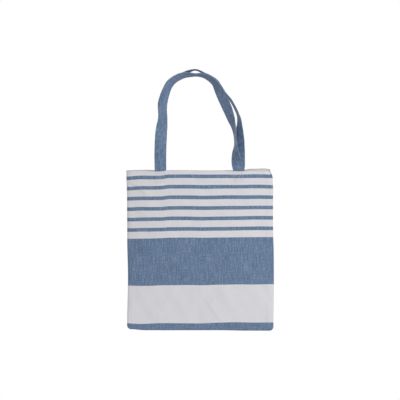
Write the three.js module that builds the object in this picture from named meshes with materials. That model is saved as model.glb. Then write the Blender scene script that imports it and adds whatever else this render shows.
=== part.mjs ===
// A flat, woven cotton tote bag with two cloth handles, hanging empty from one hook.
// Millimetres, +Z up, front panel facing -Y, +X to the right as seen from the front.
// The origin is where the hook touches the underside of the front handle.
import * as THREE from 'three';

// ---- driving dimensions -------------------------------------------------------------------

const BAG = {
  width: 380, // seam to seam
  height: 414, // mouth to bottom seam
  cornerRadius: 8,
  cloth: 0.9, // one layer of the woven cotton
  mouthGape: 9, // how far each panel stands off the middle plane at the mouth
  billow: 8, // how much further each panel stands off halfway down
  seamRoll: 2.2, // how far a panel rolls out over the seam allowance inside it
  rollReach: 3, // how quickly that roll dies away from a seam
};
const HEM = { depth: 30, thick: 1.4, fromSide: 6 };
const SEAM = { allowance: 14, thick: 1.4, fromEdge: 2.5 };
const STRAP = { width: 30, thick: 2.4, spacing: 204, sewnDepth: 31 };
const LOOP_RISE = 248; // mouth to the underside of the front handle's top
const THREAD = { wide: 0.8, thick: 0.4 };
const EDGE_STITCH_INSET = 3; // from a handle's edge to its row of stitching
const HEM_STITCH_INSET = 3; // from the hem's lower edge to its row of stitching
const BOX_STITCH = { fromEdge: 4, fromMouth: 4.5 }; // the crossed box that holds a handle end
const GAP = 0.3; // clearance between pieces that touch
const PIVOT_RISE = 1; // the handles fold over the mouth just above its edge

const MOUTH_Z = -LOOP_RISE;
const BOTTOM_Z = MOUTH_Z - BAG.height;
const HALF_WIDTH = BAG.width / 2;
const HALF_SPACING = STRAP.spacing / 2;
const FRONT = -1; // the front half of the bag lies towards -Y
const BACK = 1;
const LEFT = -1;
const RIGHT = 1;

// ---- finishes -----------------------------------------------------------------------------

function cotton(colour) {
  return new THREE.MeshStandardMaterial({ color: colour, roughness: 0.9, metalness: 0 });
}
const STRIPED = cotton(0xb4bdc9);
const WHITE = cotton(0xdcdbde);
const BLUE = cotton(0x66799a);
const STITCHING = cotton(0xe6e6e8);
const BLUE_STITCHING = cotton(0x728399);

const tote = new THREE.Group();

function addPiece(name, geometry, material) {
  const mesh = new THREE.Mesh(geometry, material);
  mesh.name = name;
  tote.add(mesh);
}

// ---- closed sheets ------------------------------------------------------------------------

function signedVolume(points, faces) {
  const cross = new THREE.Vector3();
  return faces.reduce(
    (sum, [a, b, c]) => sum + points[a].dot(cross.crossVectors(points[b], points[c])) / 6,
    0,
  );
}

const shares = (count) => Array.from({ length: count + 1 }, (_, i) => i / count);

// A closed sheet: place(u, v, face) gives the points of face 0 and face 1 at each u and v.
function sheet(us, vs, place) {
  const alongU = us.length - 1;
  const alongV = vs.length - 1;
  const points = us.flatMap((u) => vs.flatMap((v) => [place(u, v, 0), place(u, v, 1)]));
  const index = (i, j, face) => (i * vs.length + j) * 2 + face;
  const faces = [];
  const quad = (a, b, c, d) => faces.push([a, b, c], [a, c, d]);
  for (let i = 0; i < alongU; i += 1) {
    for (let j = 0; j < alongV; j += 1) {
      quad(index(i, j, 0), index(i + 1, j, 0), index(i + 1, j + 1, 0), index(i, j + 1, 0));
      quad(index(i, j, 1), index(i, j + 1, 1), index(i + 1, j + 1, 1), index(i + 1, j, 1));
    }
  }
  for (let i = 0; i < alongU; i += 1) {
    quad(index(i, 0, 0), index(i, 0, 1), index(i + 1, 0, 1), index(i + 1, 0, 0));
    quad(index(i, alongV, 0), index(i + 1, alongV, 0), index(i + 1, alongV, 1), index(i, alongV, 1));
  }
  for (let j = 0; j < alongV; j += 1) {
    quad(index(0, j, 0), index(0, j + 1, 0), index(0, j + 1, 1), index(0, j, 1));
    quad(index(alongU, j, 0), index(alongU, j, 1), index(alongU, j + 1, 1), index(alongU, j + 1, 0));
  }
  if (signedVolume(points, faces) < 0) faces.forEach((face) => face.reverse());
  const geometry = new THREE.BufferGeometry().setFromPoints(points);
  geometry.setIndex(faces.flat());
  geometry.computeVertexNormals();
  return geometry;
}

// ---- the bag's form -----------------------------------------------------------------------

// How far a panel's inner face stands off the middle plane, at x across and drop below the mouth.
function halfGap(x, drop) {
  const fromSide = Math.max(0, HALF_WIDTH - Math.abs(x));
  const fromBottom = Math.max(0, BAG.height - drop);
  const rolled = (distance) => 1 - Math.exp(-distance / BAG.rollReach);
  const across = 1 - (Math.abs(x) / HALF_WIDTH) ** 3;
  const down = drop / BAG.height;
  const swell = BAG.mouthGape * (1 - down) + BAG.billow * 4 * down * (1 - down);
  return GAP / 2 + BAG.seamRoll * rolled(fromSide) * rolled(fromBottom) + swell * across;
}

// The panel's half width at a drop, which the rounded bottom corners reduce.
function halfWidthAt(drop) {
  const intoCorner = Math.max(0, BAG.cornerRadius - (BAG.height - drop));
  const r = BAG.cornerRadius;
  return HALF_WIDTH - (r - Math.sqrt(r * r - intoCorner * intoCorner));
}

// Columns across a panel, as x: crowded beside the seams, where the cloth rolls over the allowance.
const NEAR_SEAM = [0, 0.4, 0.9, 1.6, 2.6, 4, 6.5, 11].map((reaches) => reaches * BAG.rollReach);
function columns(fromSide) {
  const near = [fromSide, ...NEAR_SEAM.filter((distance) => distance > fromSide)];
  const left = near.map((distance) => distance - HALF_WIDTH);
  const middle = shares(10).slice(1, -1).map((u) => (2 * u - 1) * (HALF_WIDTH - near.at(-1)));
  return [...left, ...middle, ...left.map((x) => -x).reverse()];
}

// Rows down a panel, as drops: even, then crowded round the bottom corners.
function rows() {
  const straight = BAG.height - BAG.cornerRadius;
  const hemRows = shares(2).map((v) => v * HEM.depth);
  const even = shares(10).slice(1).map((v) => HEM.depth + v * (straight - HEM.depth));
  const round = [0.4, 0.75, 0.95, 0.999].map((share) => straight + share * BAG.cornerRadius);
  return [...hemRows, ...even, ...round];
}

function onPanel(side, x, drop, inwards) {
  return new THREE.Vector3(x, side * (halfGap(x, drop) - inwards), MOUTH_Z - drop);
}

function panel(side) {
  return sheet(columns(0), rows(), (x, drop, face) => {
    const narrowed = (x * halfWidthAt(drop)) / HALF_WIDTH;
    return onPanel(side, narrowed, drop, face === 0 ? 0 : -BAG.cloth);
  });
}

function hem(side) {
  const drops = rows().filter((drop) => drop <= HEM.depth);
  return sheet(columns(HEM.fromSide), drops, (x, drop, face) => (
    onPanel(side, x, drop, GAP + face * HEM.thick)
  ));
}

// A row of thread on the outside of a panel, along the lower edge of the hem behind it.
function hemStitching(side) {
  const middle = HEM.depth - HEM_STITCH_INSET;
  const drops = [middle - THREAD.wide / 2, middle + THREAD.wide / 2];
  return sheet(columns(HEM.fromSide), drops, (x, drop, face) => (
    onPanel(side, x, drop, -BAG.cloth - GAP - face * THREAD.thick)
  ));
}

// ---- seam allowances inside the bag -------------------------------------------------------

const SIDE_SEAM_TOP = MOUTH_Z - HEM.depth - 1;
const SIDE_SEAM_FOOT = BOTTOM_Z + BAG.cornerRadius;
const BOTTOM_SEAM_REACH = HALF_WIDTH - SEAM.fromEdge - SEAM.allowance - THREAD.wide - 4 * GAP;

function flatStrip(steps, from, to, thick) {
  return sheet(shares(steps), shares(1), (u, v, face) => new THREE.Vector3(
    v === 0 ? from.x(u) : to.x(u),
    (face - 0.5) * thick,
    v === 0 ? from.z(u) : to.z(u),
  ));
}

// Both layers of a side's allowance, lying flat between the panels.
function sideStrip(hand, fromEdge, wide, thick) {
  const z = (u) => SIDE_SEAM_TOP + (SIDE_SEAM_FOOT - SIDE_SEAM_TOP) * u;
  const x = (inwards) => () => hand * (HALF_WIDTH - inwards);
  return flatStrip(12, { x: x(fromEdge), z }, { x: x(fromEdge + wide), z }, thick);
}

function bottomStrip(fromEdge, wide, thick) {
  const x = (u) => (2 * u - 1) * BOTTOM_SEAM_REACH;
  const z = (upwards) => () => BOTTOM_Z + upwards;
  return flatStrip(12, { x, z: z(fromEdge) }, { x, z: z(fromEdge + wide) }, thick);
}

// ---- handles ------------------------------------------------------------------------------

// Where a strap lies inside the hem, so that its outer corner just clears it.
const STRAP_OUTER = HALF_SPACING + STRAP.width / 2;
const STRAP_INNER = HALF_SPACING - STRAP.width / 2;

function strapFace(drop) {
  return halfGap(STRAP_OUTER, drop) - GAP - HEM.thick - GAP;
}
const STRAP_BASE_Y = strapFace(0) - STRAP.thick / 2;
// The fold line: a strap turned right over it lies clear of the outside of the panel.
const PIVOT_Y = (halfGap(STRAP_INNER, 0) + BAG.cloth + GAP + strapFace(0)) / 2;
const PIVOT_Z = MOUTH_Z + PIVOT_RISE;
const LOOP_START_Z = PIVOT_Z + GAP;

// The two loops, left foot to right foot. The arch is the line that the front strap follows: across
// is a share of half the handle spacing, and up a share of the rise from mouth to hook.
const ARCH = [
  [-1, 0], [-1, 0.19], [-0.99, 0.39], [-0.93, 0.53], [-0.85, 0.72], [-0.7, 0.9],
  [-0.42, 0.98], [-0.12, 1.005], [0.12, 0.99], [0.36, 0.93], [0.54, 0.81], [0.68, 0.69],
  [0.8, 0.53], [0.88, 0.42], [0.91, 0.28], [0.92, 0.155], [0.96, 0.06], [1, 0],
];
// How each strap lies, at those same points: clear is how far outside the arch it passes, and off how
// far from the bag's middle plane its middle is held, both as shares of the strap's width. turn is
// its twist in degrees: 0 faces the front, and at 90 it stands edge-on, as it does over the hook.
const FRONT_LIE = {
  clear: ARCH.map(() => 0),
  off: [0, 0, 0.03, 0.07, 0.05, 0, 0, 0, 0, 0, 0.03, 0.03, 0.03, 0.03, 0.05, 0.05, 0, 0],
  turn: [0, 0, 8, 51, 90, 90, 90, 90, 90, 100, 116, 132, 122, 108, 86, 50, 18, 0],
};
const BACK_LIE = {
  clear: [
    0, 0, 0, 0.08, 0.34, 0.38, 0.38, 0.39, 0.27, 0.36, 0.4, 0.56,
    0.75, 0.52, 0.33, 0.27, 0.13, 0,
  ],
  off: [
    0, 0.03, 0.15, 0.2, 0.13, 0.1, 0.05, 0.03, 0.03, 0.03, 0.03, 0.06,
    0.13, 0.2, 0.23, 0.18, 0.06, 0,
  ],
  turn: [0, 0, 18, 38, 56, 76, 85, 90, 90, 91, 92, 90, 74, 52, 22, 4, 0, 0],
};

const ARCH_LINE = new THREE.CatmullRomCurve3(
  ARCH.map(([across, up]) => new THREE.Vector3(
    across * HALF_SPACING,
    0,
    LOOP_START_Z + up * (STRAP.thick / 2 - LOOP_START_Z),
  )),
);

// Away from the middle of the loop, in its own plane.
function outwardsOf(along) {
  return new THREE.Vector3(-along.z, 0, along.x).normalize();
}

// The strap's middle line, its width direction and its face direction, at u along the loop.
function loopFrames(lie, side) {
  const points = ARCH.map(([, up], i) => {
    const u = i / (ARCH.length - 1);
    const at = ARCH_LINE.getPoint(u);
    at.addScaledVector(outwardsOf(ARCH_LINE.getTangent(u)), lie.clear[i] * STRAP.width);
    at.y = side * (STRAP_BASE_Y * (1 - up) + lie.off[i] * STRAP.width);
    return at;
  });
  const middle = new THREE.CatmullRomCurve3(points);
  const turns = lie.turn.map((turn) => new THREE.Vector3(THREE.MathUtils.degToRad(turn), 0, 0));
  const twist = new THREE.CatmullRomCurve3(turns, false, 'catmullrom');
  return (u) => {
    const at = middle.getPoint(u);
    const along = middle.getTangent(u);
    if (u === 0 || u === 1) along.set(0, 0, Math.sign(along.z));
    const angle = twist.getPoint(u).x;
    const across = outwardsOf(along).multiplyScalar(Math.cos(angle));
    across.y -= Math.sin(angle);
    across.addScaledVector(along, -across.dot(along)).normalize();
    return { at, across, face: new THREE.Vector3().crossVectors(along, across) };
  };
}

const FRONT_FRAMES = loopFrames(FRONT_LIE, FRONT);
const BACK_FRAMES = loopFrames(BACK_LIE, BACK);
const LOOP_STEPS = 68;

// A band along a loop: lines are its places across the strap, low and high are off its middle.
function loopBand(frames, lines, low, high) {
  return sheet(shares(LOOP_STEPS), lines, (u, line, face) => {
    const { at, across, face: off } = frames(u);
    return at.clone()
      .addScaledVector(across, line)
      .addScaledVector(off, face === 0 ? low : high);
  });
}

// The two edges of a row of stitching, across the strap. The strap itself has lines there too, so
// that both twist alike.
function stitchLines(edge) {
  const middle = edge * (STRAP.width / 2 - EDGE_STITCH_INSET);
  return [middle - THREAD.wide / 2, middle + THREAD.wide / 2];
}

function loopStrap(frames) {
  const half = STRAP.width / 2;
  const lines = [-half, ...stitchLines(-1), ...stitchLines(1), half];
  return loopBand(frames, lines, -STRAP.thick / 2, STRAP.thick / 2);
}

function loopStitching(frames, edge) {
  const low = STRAP.thick / 2 + GAP;
  return loopBand(frames, stitchLines(edge), low, low + THREAD.thick);
}

// The strap's sewn end, flat inside the hem, stopping just short of the fold line.
function sewnEnd(side, hand) {
  const top = MOUTH_Z - PIVOT_Z + GAP;
  return sheet(shares(2), shares(4), (u, v, face) => {
    const x = hand * (HALF_SPACING + (u - 0.5) * STRAP.width);
    const drop = top + v * (STRAP.sewnDepth - top);
    const y = strapFace(Math.max(0, drop)) - face * STRAP.thick;
    return new THREE.Vector3(x, side * y, MOUTH_Z - drop);
  });
}

// A sewn box with both diagonals, laid on the outside of the panel over a handle end. It stops
// short of the row of stitching along the hem.
function boxStitching(side, hand) {
  const foot = HEM.depth - HEM_STITCH_INSET - THREAD.wide / 2 - GAP;
  const halfX = STRAP.width / 2 - BOX_STITCH.fromEdge;
  const halfZ = (foot - BOX_STITCH.fromMouth) / 2;
  const spare = (THREAD.wide / 2) * Math.hypot(halfX, halfZ); // half a diagonal's own width
  const outline = new THREE.Shape([[-1, -1], [1, -1], [1, 1], [-1, 1]]
    .map(([x, z]) => new THREE.Vector2(x * halfX, z * halfZ)));
  const innerX = halfX - THREAD.wide;
  const innerZ = halfZ - THREAD.wide;
  const reachX = (innerZ * halfX - spare) / halfZ;
  const reachZ = (innerX * halfZ - spare) / halfX;
  for (const sign of [-1, 1]) {
    const above = [[-reachX, innerZ], [reachX, innerZ], [0, spare / halfX]];
    const beside = [[innerX, -reachZ], [innerX, reachZ], [spare / halfZ, 0]];
    for (const hole of [above, beside]) {
      outline.holes.push(new THREE.Path(hole.map(([x, z]) => new THREE.Vector2(sign * x, sign * z))));
    }
  }
  const geometry = new THREE.ExtrudeGeometry(outline, { depth: THREAD.thick, bevelEnabled: false });
  const place = geometry.getAttribute('position');
  for (let i = 0; i < place.count; i += 1) {
    const x = hand * HALF_SPACING - side * place.getX(i);
    const drop = foot - halfZ - place.getY(i);
    const outwards = BAG.cloth + GAP + place.getZ(i);
    place.setXYZ(i, ...onPanel(side, x, drop, -outwards).toArray());
  }
  geometry.computeVertexNormals();
  return geometry;
}

// ---- assembly -----------------------------------------------------------------------------

const HALVES = [['front', FRONT, FRONT_FRAMES], ['back', BACK, BACK_FRAMES]];
const HANDS = [['left', LEFT], ['right', RIGHT]];

for (const [half, side, frames] of HALVES) {
  addPiece(`${half}_panel`, panel(side), STRIPED);
  addPiece(`${half}_hem`, hem(side), WHITE);
  addPiece(`${half}_hem_stitching`, hemStitching(side), STITCHING);
  addPiece(`${half}_handle`, loopStrap(frames), BLUE);
  addPiece(`${half}_handle_outer_stitching`, loopStitching(frames, 1), BLUE_STITCHING);
  addPiece(`${half}_handle_inner_stitching`, loopStitching(frames, -1), BLUE_STITCHING);
  for (const [hand, sign] of HANDS) {
    addPiece(`${half}_handle_${hand}_end`, sewnEnd(side, sign), BLUE);
    addPiece(`${half}_${hand}_box_stitching`, boxStitching(side, sign), STITCHING);
  }
}
const RAW_EDGE = SEAM.fromEdge + SEAM.allowance + GAP;
for (const [hand, sign] of HANDS) {
  addPiece(`${hand}_side_seam`, sideStrip(sign, SEAM.fromEdge, SEAM.allowance, SEAM.thick), WHITE);
  addPiece(`${hand}_overlock_thread`, sideStrip(sign, RAW_EDGE, THREAD.wide, SEAM.thick), STITCHING);
}
addPiece('bottom_seam', bottomStrip(SEAM.fromEdge, SEAM.allowance, SEAM.thick), BLUE);
addPiece('bottom_overlock_thread', bottomStrip(RAW_EDGE, THREAD.wide, SEAM.thick), STITCHING);

export default tote;
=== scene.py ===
"""A flat, woven cotton tote bag with two cloth handles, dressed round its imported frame.

Lengths are in metres, +Z is up, the front panel faces -Y and +X is to the right as seen from there.
Each piece of cloth is cut flat, given its thickness and its turned edges, and then laid in place.
"""

from __future__ import annotations

import logging
import math
from dataclasses import dataclass, field
from enum import Enum
from typing import Callable, Sequence

import bpy
import numpy as np
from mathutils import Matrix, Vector


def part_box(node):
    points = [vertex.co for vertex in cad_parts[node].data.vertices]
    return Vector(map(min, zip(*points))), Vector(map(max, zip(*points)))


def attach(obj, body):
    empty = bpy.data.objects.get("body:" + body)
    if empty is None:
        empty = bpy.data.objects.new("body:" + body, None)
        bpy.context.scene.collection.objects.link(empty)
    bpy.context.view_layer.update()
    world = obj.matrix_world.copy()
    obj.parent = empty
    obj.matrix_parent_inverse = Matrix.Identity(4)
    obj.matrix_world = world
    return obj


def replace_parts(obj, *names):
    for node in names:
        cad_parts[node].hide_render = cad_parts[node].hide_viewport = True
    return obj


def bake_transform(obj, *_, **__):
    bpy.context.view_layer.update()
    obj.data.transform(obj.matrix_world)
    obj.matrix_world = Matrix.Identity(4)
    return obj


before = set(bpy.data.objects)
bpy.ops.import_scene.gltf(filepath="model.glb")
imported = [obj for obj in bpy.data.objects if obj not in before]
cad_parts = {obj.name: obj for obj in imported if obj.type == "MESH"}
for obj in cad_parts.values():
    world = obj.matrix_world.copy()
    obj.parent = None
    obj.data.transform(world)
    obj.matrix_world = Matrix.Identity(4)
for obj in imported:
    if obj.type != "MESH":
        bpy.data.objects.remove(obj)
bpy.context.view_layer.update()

MM = 0.001
LOG = logging.getLogger("tote")
CLOTH_MAP = "cloth"

Array = np.ndarray
Colour = tuple[float, float, float]
Surface = Callable[[Array, Array, Array], Array]


class Half(Enum):
    """Which half of the bag a piece belongs to, valued by its side of the middle plane."""

    FRONT = -1
    BACK = 1

    @property
    def word(self) -> str:
        """The half's word in piece names."""
        return self.name.lower()


class Hand(Enum):
    """Which end of a handle, or side of the bag, a piece belongs to, valued by its side in x."""

    LEFT = -1
    RIGHT = 1

    @property
    def word(self) -> str:
        """The hand's word in piece names."""
        return self.name.lower()


class Body(Enum):
    """The frame's moving bodies."""

    BAG = "bag"
    FRONT_HANDLE = "front_handle"
    BACK_HANDLE = "back_handle"

    @classmethod
    def handle(cls, half: Half) -> Body:
        """The body that a half's handle moves with."""
        return cls.FRONT_HANDLE if half is Half.FRONT else cls.BACK_HANDLE


# ---- numbers along a line ----------------------------------------------------------------------


def eased(value: Array, knots: Sequence[tuple[float, float]]) -> Array:
    """Follows knots with an easy curve between each two.

    Args:
        value: Where to read the curve.
        knots: Pairs of place and height, in rising order of place.

    Returns:
        The height at each value, level beyond the first and last knot.
    """
    places = np.array([place for place, _ in knots], float)
    heights = np.array([height for _, height in knots], float)
    index = np.clip(np.searchsorted(places, value) - 1, 0, len(places) - 2)
    share = np.clip((value - places[index]) / (places[index + 1] - places[index]), 0, 1)
    share = share * share * (3 - 2 * share)
    return heights[index] * (1 - share) + heights[index + 1] * share


def smooth_step(value: Array, start: float, end: float) -> Array:
    """0 before start, 1 after end, and an easy curve between."""
    share = np.clip((value - start) / (end - start), 0, 1)
    return share * share * (3 - 2 * share)


def rippled(value: Array, wavelengths: Sequence[float], seed: int) -> Array:
    """A calm, uneven ripple made of a few waves.

    Args:
        value: Where to read the ripple.
        wavelengths: The length of each wave.
        seed: Chooses each wave's start.

    Returns:
        The ripple at each value, between -1 and 1.
    """
    starts = np.random.default_rng(seed).uniform(0, 2 * math.pi, len(wavelengths))
    waves = [np.sin(2 * math.pi * value / length + start) for length, start in zip(wavelengths, starts)]
    return sum(waves) / len(wavelengths)


# ---- the maker's bench: steps in Blender -------------------------------------------------------


class Bench:
    """Blender's own modelling steps, each on one piece."""

    @staticmethod
    def pick(piece: bpy.types.Object) -> None:
        """Leaves only this piece selected and active.

        Args:
            piece: The piece.
        """
        bpy.ops.object.select_all(action="DESELECT")
        piece.select_set(True)
        bpy.context.view_layer.objects.active = piece

    @staticmethod
    def named(name: str) -> bpy.types.Object:
        """Names the piece that was just added.

        Args:
            name: The piece's name, which its mesh takes too.

        Returns:
            The piece.
        """
        piece = bpy.context.object
        piece.name = name
        piece.data.name = name
        return piece

    @classmethod
    def finish_with(cls, piece: bpy.types.Object, kind: str, **settings: object) -> None:
        """Adds a modifier to a piece and applies it.

        Args:
            piece: The piece.
            kind: The modifier's type.
            settings: The modifier's own settings.
        """
        cls.pick(piece)
        modifier = piece.modifiers.new(kind.lower(), kind)
        for name, value in settings.items():
            setattr(modifier, name, value)
        bpy.ops.object.modifier_apply(modifier=modifier.name)

    @classmethod
    def point_outwards(cls, piece: bpy.types.Object) -> None:
        """Turns every face of a closed piece outwards and shades it smooth.

        Args:
            piece: The piece.
        """
        cls.pick(piece)
        bpy.ops.object.mode_set(mode="EDIT")
        bpy.ops.mesh.select_all(action="SELECT")
        bpy.ops.mesh.normals_make_consistent(inside=False)
        bpy.ops.object.mode_set(mode="OBJECT")
        bpy.ops.object.shade_smooth_by_angle(angle=math.radians(50))

    @staticmethod
    def points(piece: bpy.types.Object) -> Array:
        """The piece's vertices as rows of x, y, z.

        Args:
            piece: The piece.

        Returns:
            One row for each vertex.
        """
        found = np.empty(len(piece.data.vertices) * 3)
        piece.data.vertices.foreach_get("co", found)
        return found.reshape(-1, 3)

    @staticmethod
    def move_points(piece: bpy.types.Object, places: Array) -> None:
        """Puts the piece's vertices at new places.

        Args:
            piece: The piece.
            places: One row of x, y, z for each vertex.
        """
        piece.data.vertices.foreach_set("co", places.ravel())
        piece.data.update()

    @staticmethod
    def map_cloth(piece: bpy.types.Object, across: Array, along: Array) -> None:
        """Writes the cloth's own metric map, in metres, from one value pair for each vertex.

        Args:
            piece: The piece.
            across: The map's first value at each vertex.
            along: Its second value at each vertex.
        """
        layer = piece.data.uv_layers.get(CLOTH_MAP) or piece.data.uv_layers.new(name=CLOTH_MAP)
        for other in [found for found in piece.data.uv_layers if found.name != CLOTH_MAP]:
            piece.data.uv_layers.remove(other)
        layer = piece.data.uv_layers[CLOTH_MAP]
        corner = np.empty(len(piece.data.loops), int)
        piece.data.loops.foreach_get("vertex_index", corner)
        layer.data.foreach_set("uv", np.stack([across[corner], along[corner]], 1).ravel())


@dataclass(frozen=True)
class FlatCut:
    """A piece of cloth as cut, lying flat: x is across it, y along it and z through it.

    Attributes:
        name: The piece's name.
        across: The columns' places, in rising order.
        along: The rows' places, in rising order.
        thick: The cloth's thickness.
        turned: How far its edges are rounded.
    """

    name: str
    across: Array
    along: Array
    thick: float
    turned: float

    def make(self) -> bpy.types.Object:
        """Cuts the cloth from a grid and gives it its thickness and its rounded edges.

        Returns:
            The flat piece.
        """
        columns, rows = len(self.across) - 1, len(self.along) - 1
        bpy.ops.object.select_all(action="DESELECT")
        bpy.ops.mesh.primitive_grid_add(x_subdivisions=columns, y_subdivisions=rows, size=1)
        piece = Bench.named(self.name)
        shares = Bench.points(piece) + 0.5
        flat = np.zeros_like(shares)
        flat[:, 0] = np.interp(shares[:, 0] * columns, np.arange(columns + 1), self.across)
        flat[:, 1] = np.interp(shares[:, 1] * rows, np.arange(rows + 1), self.along)
        Bench.move_points(piece, flat)
        Bench.finish_with(piece, "SOLIDIFY", thickness=self.thick, offset=0)
        Bench.finish_with(
            piece, "BEVEL", width=self.turned, segments=2, limit_method="ANGLE", angle_limit=math.radians(60)
        )
        return piece

    @staticmethod
    def lay(piece: bpy.types.Object, surface: Surface, map_along: Callable[[Array, Array], Array]) -> None:
        """Lays a flat piece on a surface.

        Args:
            piece: The flat piece.
            surface: Gives a place for each place across, along and through the cloth.
            map_along: Gives the cloth map's second value from the places across and along.
        """
        across, along, through = Bench.points(piece).T
        Bench.map_cloth(piece, across, map_along(across, along))
        Bench.move_points(piece, surface(across, along, through))
        Bench.point_outwards(piece)


@dataclass(frozen=True)
class Stitch:
    """One visible stitch of thread, and rows of its copies."""

    long: float = 2.7 * MM
    pitch: float = 3.3 * MM
    wide: float = 0.55 * MM
    thick: float = 0.45 * MM

    def model(self) -> tuple[Array, list[tuple[int, ...]]]:
        """Models one stitch, lying along x with its top towards z.

        Returns:
            Its vertices and its faces.
        """
        bpy.ops.object.select_all(action="DESELECT")
        bpy.ops.mesh.primitive_uv_sphere_add(
            segments=6, ring_count=4, radius=0.5, rotation=(0, math.pi / 2, 0)
        )
        one = Bench.named("one_stitch")
        bpy.ops.object.transform_apply(location=False, rotation=True, scale=False)
        places = Bench.points(one)
        faces = [tuple(face.vertices) for face in one.data.polygons]
        rounded = np.sign(places[:, 0]) * np.abs(places[:, 0] * 2) ** 0.6 / 2
        places = np.stack([rounded * self.long, places[:, 1] * self.wide, places[:, 2] * self.thick], 1)
        bpy.data.objects.remove(one)
        return places, faces

    def run(self, length: float, inset: float = 0.0) -> Array:
        """Places of stitches along a row.

        Args:
            length: The row's length.
            inset: What is left free at each end.

        Returns:
            The middle of each stitch, from the row's start.
        """
        count = max(2, int((length - 2 * inset) / self.pitch))
        return inset + (np.arange(count) + 0.5) * (length - 2 * inset) / count

    def sew(self, name: str, rows: Sequence[tuple[Surface, Array]]) -> bpy.types.Object:
        """Sews stitches on surfaces, as one piece.

        Args:
            name: The piece's name.
            rows: Surfaces, each with its stitches as rows of across, along, through and the heading's
                share across and along.

        Returns:
            The piece.
        """
        places, faces = self.model()
        nudge = 0.2 * MM
        laid = []
        for surface, stitches in rows:
            across, along, through, to_across, to_along = stitches.T
            middle = surface(across, along, through)
            ahead = surface(across + to_across * nudge, along + to_along * nudge, through)
            heading = ahead - surface(across - to_across * nudge, along - to_along * nudge, through)
            heading /= np.linalg.norm(heading, axis=1, keepdims=True)
            out = surface(across, along, through + nudge) - surface(across, along, through - nudge)
            beside = np.cross(out, heading)
            beside /= np.linalg.norm(beside, axis=1, keepdims=True)
            out = np.cross(heading, beside)
            turned = np.stack([heading, beside, out], 1)
            laid.append(middle[:, None, :] + np.einsum("vk,nkx->nvx", places, turned))
        laid = np.concatenate(laid)
        count = len(places)
        all_faces = [[i * count + v for v in face] for i in range(len(laid)) for face in faces]
        mesh = bpy.data.meshes.new(name)
        mesh.from_pydata(laid.reshape(-1, 3).tolist(), [], all_faces)
        piece = bpy.data.objects.new(name, mesh)
        bpy.context.scene.collection.objects.link(piece)
        Bench.point_outwards(piece)
        return piece


# ---- finishes ----------------------------------------------------------------------------------


class Value:
    """A node's output that Python's operators turn into Math nodes."""

    def __init__(self, loom: Loom, output: bpy.types.NodeSocket) -> None:
        """Wraps an output of a node on a loom."""
        self.loom = loom
        self.output = output

    def _math(self, operation: str, *numbers: Value | float) -> Value:
        """Adds a Math node.

        Args:
            operation: Its operation.
            numbers: Its inputs, in order.

        Returns:
            Its output.
        """
        return self.loom.node("ShaderNodeMath", {"operation": operation}, dict(enumerate(numbers)))

    def __add__(self, other: Value | float) -> Value:
        """Adds."""
        return self._math("ADD", self, other)

    __radd__ = __add__

    def __mul__(self, other: Value | float) -> Value:
        """Multiplies."""
        return self._math("MULTIPLY", self, other)

    __rmul__ = __mul__

    def __sub__(self, other: Value | float) -> Value:
        """Subtracts."""
        return self._math("SUBTRACT", self, other)

    def __rsub__(self, other: Value | float) -> Value:
        """Subtracts this from the other."""
        return self._math("SUBTRACT", other, self)

    def __mod__(self, other: Value | float) -> Value:
        """What is left after whole steps of the other."""
        return self._math("FLOORED_MODULO", self, other)

    def __abs__(self) -> Value:
        """Without its sign."""
        return self._math("ABSOLUTE", self)

    def sine(self) -> Value:
        """Its sine."""
        return self._math("SINE", self)

    def past(self, edge: float, soft: float) -> Value:
        """0 below an edge and 1 above it.

        Args:
            edge: Where the change is half done.
            soft: How far the change reaches on either side.

        Returns:
            The eased step.
        """
        settings = {"interpolation_type": "SMOOTHSTEP"}
        stops = {"Value": self, "From Min": edge - soft, "From Max": edge + soft}
        return self.loom.node("ShaderNodeMapRange", settings, stops)

    def between(self, low: float, high: float, soft: float) -> Value:
        """1 between two edges and 0 outside them, with a soft change at both."""
        return self.past(low, soft) - self.past(high, soft)


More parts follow.
